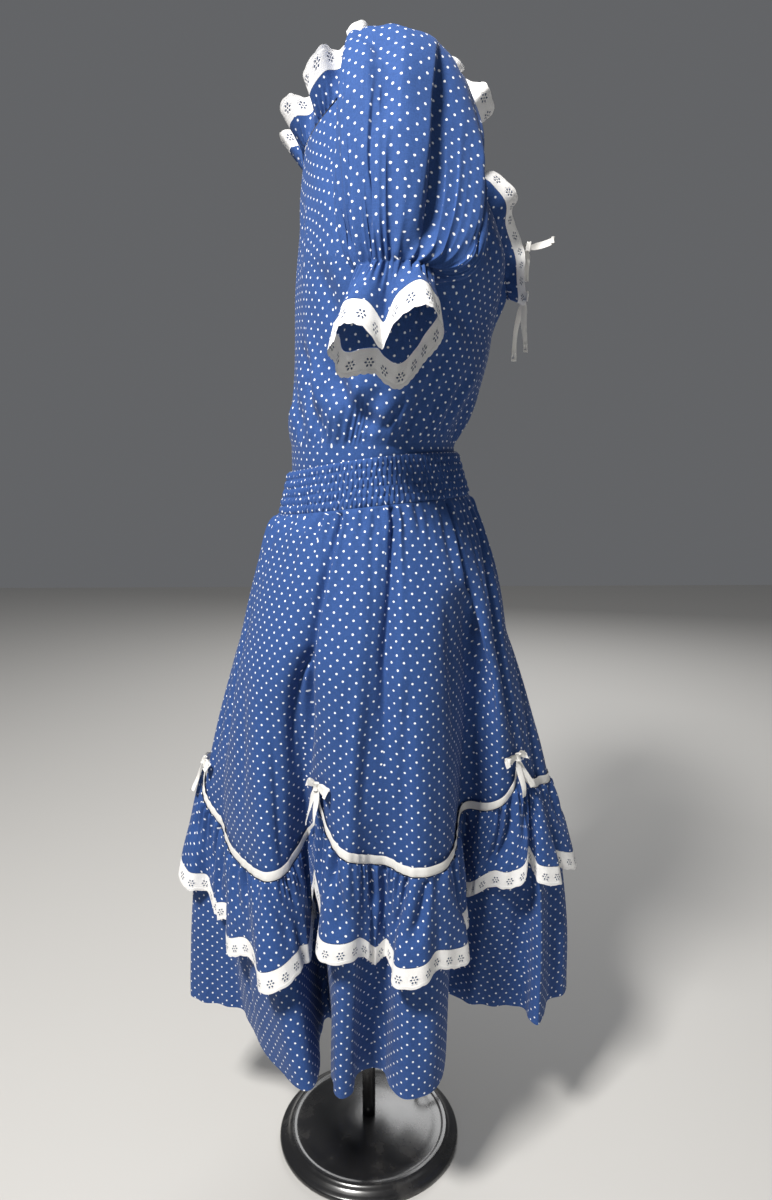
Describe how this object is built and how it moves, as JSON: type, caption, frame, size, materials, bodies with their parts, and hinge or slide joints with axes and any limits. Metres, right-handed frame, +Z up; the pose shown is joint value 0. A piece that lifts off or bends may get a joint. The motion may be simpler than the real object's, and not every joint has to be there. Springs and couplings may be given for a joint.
{
  "type": "square dance skirt set on dress form stand",
  "caption": "Dotted cotton square dance blouse and swagged ruffle skirt with eyelet lace and ribbon bows, worn on a black limbless dress form on a round pole stand.",
  "frame": {"origin": "middle of the underside of the round base, where it stands on the floor", "axes": "+Z up along the pole, +X towards the wearer's front, -Y towards the wearer's right"},
  "size_m": [0.462, 0.4746, 1.2276],
  "materials": {
    "cotton": "woven cotton, navy-royal blue with white pin dots, matt",
    "lace": "white eyelet cotton lace, matt",
    "ribbon": "ivory white woven ribbon, soft sheen",
    "form_black": "black, semi-gloss",
    "stand_black": "black paint, semi-gloss"
  },
  "bodies": {
    "root": {"skirt_back": "cotton", "skirt_front": "cotton", "swag_ribbon": "ribbon", "swag_ruffle": "cotton", "swag_lace": "lace", "skirt_bow_1": "ribbon", "skirt_bow_2": "ribbon", "skirt_bow_3": "ribbon", "skirt_bow_4": "ribbon", "skirt_bow_5": "ribbon", "waistband": "cotton", "blouse_back": "cotton", "blouse_front": "cotton", "sleeve_right": "cotton", "sleeve_left": "cotton", "sleeve_lace_right": "lace", "sleeve_lace_left": "lace", "neck_ruffle_right": "cotton", "neck_ruffle_left": "cotton", "neck_lace_right": "lace", "neck_lace_left": "lace", "front_bow_upper": "ribbon", "front_bow_lower": "ribbon", "form_torso": "form_black", "form_hook": "stand_black", "stand_pole": "stand_black", "stand_base": "stand_black", "stand_loop": "stand_black"}
  },
  "joints": []
}
